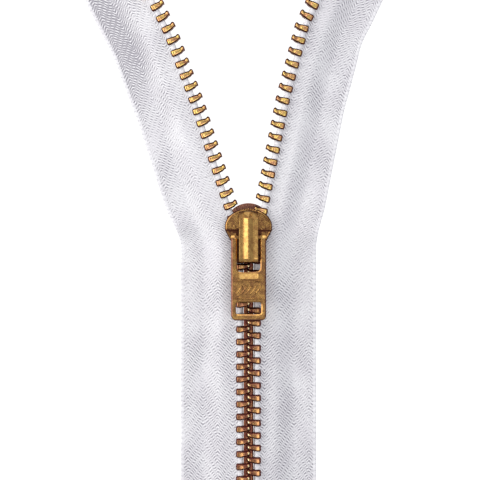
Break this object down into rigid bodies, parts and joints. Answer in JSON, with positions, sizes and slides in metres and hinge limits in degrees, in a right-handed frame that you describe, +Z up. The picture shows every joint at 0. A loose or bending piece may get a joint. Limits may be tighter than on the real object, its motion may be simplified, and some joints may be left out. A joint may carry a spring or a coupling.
{
  "type": "zipper",
  "caption": "Partly open metal zipper lying flat: woven tapes, clamped brass teeth, stops, locking slider and a flat pull tab.",
  "frame": {"origin": "on the slider's flat underside, on the chain's centre line, at the place where the two rows of teeth meet", "axes": "+X across the tapes to the right, +Y along the chain towards the open end, +Z up out of the face with the pull tab"},
  "size_m": [0.0744, 0.1392, 0.0075],
  "materials": {
    "tape_polyester": "white herringbone-woven polyester tape, matt",
    "tooth_brass": "antique brass, bright on the worn faces and brown along the edges",
    "slider_brass": "antique brass, stippled on the flats and polished on the crown",
    "lock_steel": "plain spring steel"
  },
  "bodies": {
    "chain": {"left_tape_lower": "tape_polyester", "right_tape_lower": "tape_polyester", "left_closed_teeth": "tooth_brass", "right_closed_teeth": "tooth_brass", "bottom_stop": "tooth_brass"},
    "left_arm_1": {"left_tape_arm_1": "tape_polyester", "left_tooth_01": "tooth_brass", "left_tooth_02": "tooth_brass", "left_tooth_03": "tooth_brass", "left_tooth_04": "tooth_brass", "left_tooth_05": "tooth_brass", "left_tooth_06": "tooth_brass", "left_tooth_07": "tooth_brass", "left_tooth_08": "tooth_brass", "left_tooth_09": "tooth_brass", "left_tooth_10": "tooth_brass", "left_tooth_11": "tooth_brass", "left_tooth_12": "tooth_brass"},
    "left_arm_2": {"left_tape_arm_2": "tape_polyester", "left_tooth_13": "tooth_brass", "left_tooth_14": "tooth_brass", "left_tooth_15": "tooth_brass", "left_tooth_16": "tooth_brass", "left_tooth_17": "tooth_brass", "left_tooth_18": "tooth_brass"},
    "left_arm_3": {"left_tape_arm_3": "tape_polyester", "left_tooth_19": "tooth_brass", "left_tooth_20": "tooth_brass", "left_tooth_21": "tooth_brass", "left_top_stop": "tooth_brass"},
    "right_arm_1": {"right_tape_arm_1": "tape_polyester", "right_tooth_01": "tooth_brass", "right_tooth_02": "tooth_brass", "right_tooth_03": "tooth_brass", "right_tooth_04": "tooth_brass", "right_tooth_05": "tooth_brass", "right_tooth_06": "tooth_brass", "right_tooth_07": "tooth_brass", "right_tooth_08": "tooth_brass", "right_tooth_09": "tooth_brass", "right_tooth_10": "tooth_brass", "right_tooth_11": "tooth_brass", "right_tooth_12": "tooth_brass"},
    "right_arm_2": {"right_tape_arm_2": "tape_polyester", "right_tooth_13": "tooth_brass", "right_tooth_14": "tooth_brass", "right_tooth_15": "tooth_brass", "right_tooth_16": "tooth_brass", "right_tooth_17": "tooth_brass", "right_tooth_18": "tooth_brass"},
    "right_arm_3": {"right_tape_arm_3": "tape_polyester", "right_tooth_19": "tooth_brass", "right_tooth_20": "tooth_brass", "right_tooth_21": "tooth_brass", "right_top_stop": "tooth_brass"},
    "slider": {"slider_body": "slider_brass", "crown_cap": "slider_brass", "lock_spring": "lock_steel"},
    "lock_pawl": {"lock_pawl": "lock_steel"},
    "pull_tab": {"pull_tab": "slider_brass"}
  },
  "joints": [
    {"name": "slider_travel", "type": "slide", "parent": "chain", "child": "slider", "axis": [0, 1, 0], "range_m": [0, 0.05274], "deforming": ["left_tape_arm_1", "left_tape_arm_2", "left_tape_arm_3", "left_tooth_01", "left_tooth_02", "left_tooth_03", "left_tooth_04", "left_tooth_05", "left_tooth_06", "left_tooth_07", "left_tooth_08", "left_tooth_09", "left_tooth_10", "left_tooth_11", "left_tooth_12", "left_tooth_13", "left_tooth_14", "left_tooth_15", "left_tooth_16", "left_tooth_17", "left_tooth_18", "left_tooth_19", "left_tooth_20", "left_tooth_21", "right_tape_arm_1", "right_tape_arm_2", "right_tape_arm_3", "right_tooth_01", "right_tooth_02", "right_tooth_03", "right_tooth_04", "right_tooth_05", "right_tooth_06", "right_tooth_07", "right_tooth_08", "right_tooth_09", "right_tooth_10", "right_tooth_11", "right_tooth_12", "right_tooth_13", "right_tooth_14", "right_tooth_15", "right_tooth_16", "right_tooth_17", "right_tooth_18", "right_tooth_19", "right_tooth_20", "right_tooth_21"]},
    {"name": "left_arm_1_fold", "type": "hinge", "parent": "chain", "child": "left_arm_1", "pos_m": [-0.002, 0, 0.00235], "axis": [0, 0, 1], "range_deg": [-18.01, 0]},
    {"name": "left_arm_2_fold", "type": "hinge", "parent": "left_arm_1", "child": "left_arm_2", "pos_m": [-0.01286, 0.03344, 0.00235], "axis": [0, 0, 1], "range_deg": [-2.71, 0]},
    {"name": "left_arm_3_fold", "type": "hinge", "parent": "left_arm_2", "child": "left_arm_3", "pos_m": [-0.01908, 0.04988, 0.00235], "axis": [0, 0, 1], "range_deg": [0, 12.11]},
    {"name": "right_arm_1_fold", "type": "hinge", "parent": "chain", "child": "right_arm_1", "pos_m": [0.002, 0, 0.00235], "axis": [0, 0, 1], "range_deg": [0, 11.31]},
    {"name": "right_arm_2_fold", "type": "hinge", "parent": "right_arm_1", "child": "right_arm_2", "pos_m": [0.00889, 0.03448, 0.00235], "axis": [0, 0, 1], "range_deg": [0, 3.41]},
    {"name": "right_arm_3_fold", "type": "hinge", "parent": "right_arm_2", "child": "right_arm_3", "pos_m": [0.01335, 0.05148, 0.00235], "axis": [0, 0, 1], "range_deg": [-1.01, 0]},
    {"name": "pull_tab_swing", "type": "hinge", "parent": "slider", "child": "pull_tab", "pos_m": [0, 0.0018, 0.00545], "axis": [-1, 0, 0], "range_deg": [0, 175]},
    {"name": "lock_lift", "type": "slide", "parent": "slider", "child": "lock_pawl", "axis": [0, 0, 1], "range_m": [0, 0.0004], "deforming": ["lock_spring"]}
  ],
  "couplings": [
    {"joint": "left_arm_1_fold", "follows": "slider_travel", "rad_per_m": -5.9568},
    {"joint": "left_arm_2_fold", "follows": "slider_travel", "rad_per_m": -0.89351},
    {"joint": "left_arm_3_fold", "follows": "slider_travel", "rad_per_m": 4.0043},
    {"joint": "right_arm_1_fold", "follows": "slider_travel", "rad_per_m": 3.7395},
    {"joint": "right_arm_2_fold", "follows": "slider_travel", "rad_per_m": 1.1252},
    {"joint": "right_arm_3_fold", "follows": "slider_travel", "rad_per_m": -0.33093},
    {"joint": "lock_lift", "follows": "pull_tab_swing", "m_per_rad": 0.00013083}
  ]
}
